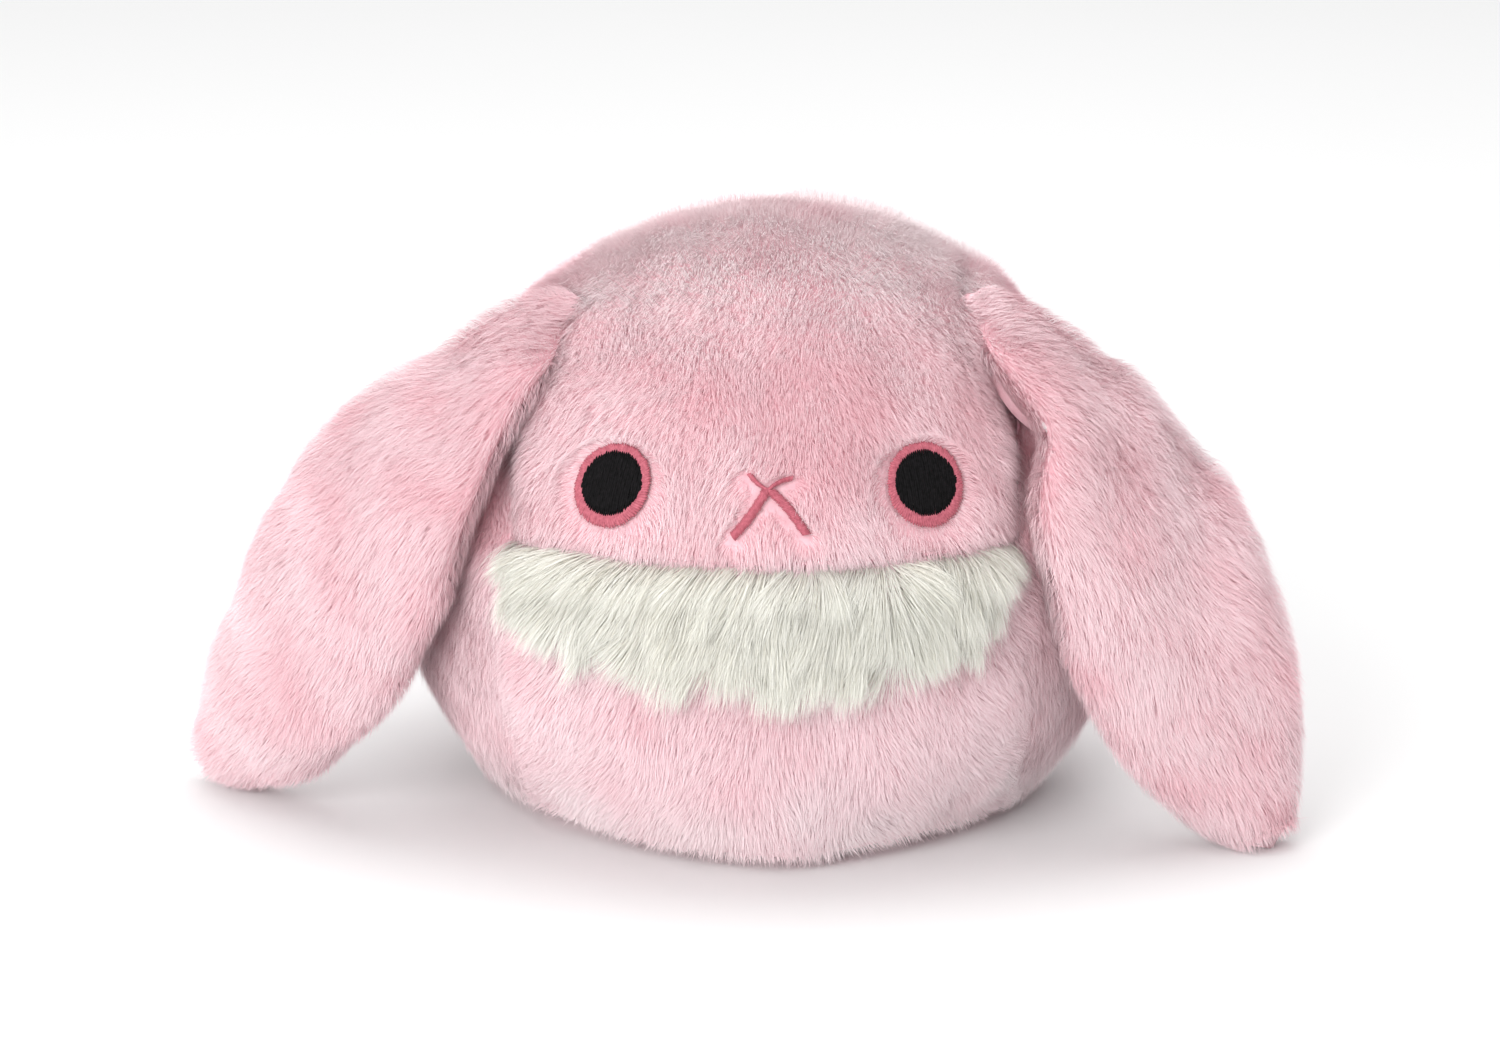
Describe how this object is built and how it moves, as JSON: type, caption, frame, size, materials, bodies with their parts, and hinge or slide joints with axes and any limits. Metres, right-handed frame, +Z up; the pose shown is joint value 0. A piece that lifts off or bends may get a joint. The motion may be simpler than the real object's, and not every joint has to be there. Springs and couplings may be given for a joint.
{
  "type": "stuffed bunny",
  "caption": "Small ball-shaped plush bunny with long drooping ears, embroidered eyes and mouth, a white fur ruff and a flat weighted base.",
  "frame": {"origin": "centre of the flat underside of the base", "axes": "+Z up, -Y towards the face, +X to the right of someone facing the bunny, along its width from ear to ear"},
  "size_m": [0.1353, 0.1015, 0.0735],
  "materials": {
    "pink_plush": "short-pile plush, soft sheen",
    "white_fur": "long-pile faux fur",
    "black_thread": "satin embroidery thread",
    "rose_thread": "satin embroidery thread",
    "pink_thread": "twisted sewing thread",
    "backing_cloth": "non-woven backing",
    "pouch_cloth": "plain cotton",
    "pellet_plastic": "smooth beads",
    "polyester_fibre": "loose fibre filling"
  },
  "bodies": {
    "torso": {"face_panel": "pink_plush", "belly_panel": "pink_plush", "back_panel_left": "pink_plush", "back_panel_right": "pink_plush", "side_panel_left": "pink_plush", "side_panel_right": "pink_plush", "base_panel": "pink_plush", "fur_ruff": "white_fur", "tail_puff": "white_fur", "eye_pupil_left": "black_thread", "eye_pupil_right": "black_thread", "eye_ring_left": "rose_thread", "eye_ring_right": "rose_thread", "nose_stitch": "rose_thread", "mouth_stitch_left": "rose_thread", "mouth_stitch_right": "rose_thread", "side_seam_thread_left": "pink_thread", "side_seam_thread_right": "pink_thread", "base_seam_thread": "pink_thread", "neck_seam_thread": "pink_thread", "closing_stitch": "pink_thread", "embroidery_backing": "backing_cloth", "pellet_pouch": "pouch_cloth", "pellets": "pellet_plastic", "body_stuffing": "polyester_fibre"},
    "ear_base_left": {"ear_root_left": "pink_plush"},
    "ear_left": {"ear_front_panel_left": "pink_plush", "ear_back_panel_left": "pink_plush", "ear_wadding_left": "polyester_fibre"},
    "ear_base_right": {"ear_root_right": "pink_plush"},
    "ear_right": {"ear_front_panel_right": "pink_plush", "ear_back_panel_right": "pink_plush", "ear_wadding_right": "polyester_fibre"}
  },
  "joints": [
    {"name": "ear_swing_left", "type": "hinge", "parent": "torso", "child": "ear_base_left", "pos_m": [-0.03456, -0.01838, 0.05847], "axis": [-0.7098, -0.3774, 0.5948], "range_deg": [-35, 55], "stiffness_Nm_per_rad": 0.01},
    {"name": "ear_lift_left", "type": "hinge", "parent": "ear_base_left", "child": "ear_left", "pos_m": [-0.03456, -0.01838, 0.05847], "axis": [-0.1917, 0.916, 0.3524], "range_deg": [0, 100], "stiffness_Nm_per_rad": 0.004},
    {"name": "ear_swing_right", "type": "hinge", "parent": "torso", "child": "ear_base_right", "pos_m": [0.03456, -0.01838, 0.05847], "axis": [-0.7098, 0.3774, -0.5948], "range_deg": [-50, 30], "stiffness_Nm_per_rad": 0.01},
    {"name": "ear_lift_right", "type": "hinge", "parent": "ear_base_right", "child": "ear_right", "pos_m": [0.03456, -0.01838, 0.05847], "axis": [-0.3918, -0.9132, -0.1119], "range_deg": [0, 100], "stiffness_Nm_per_rad": 0.004}
  ]
}
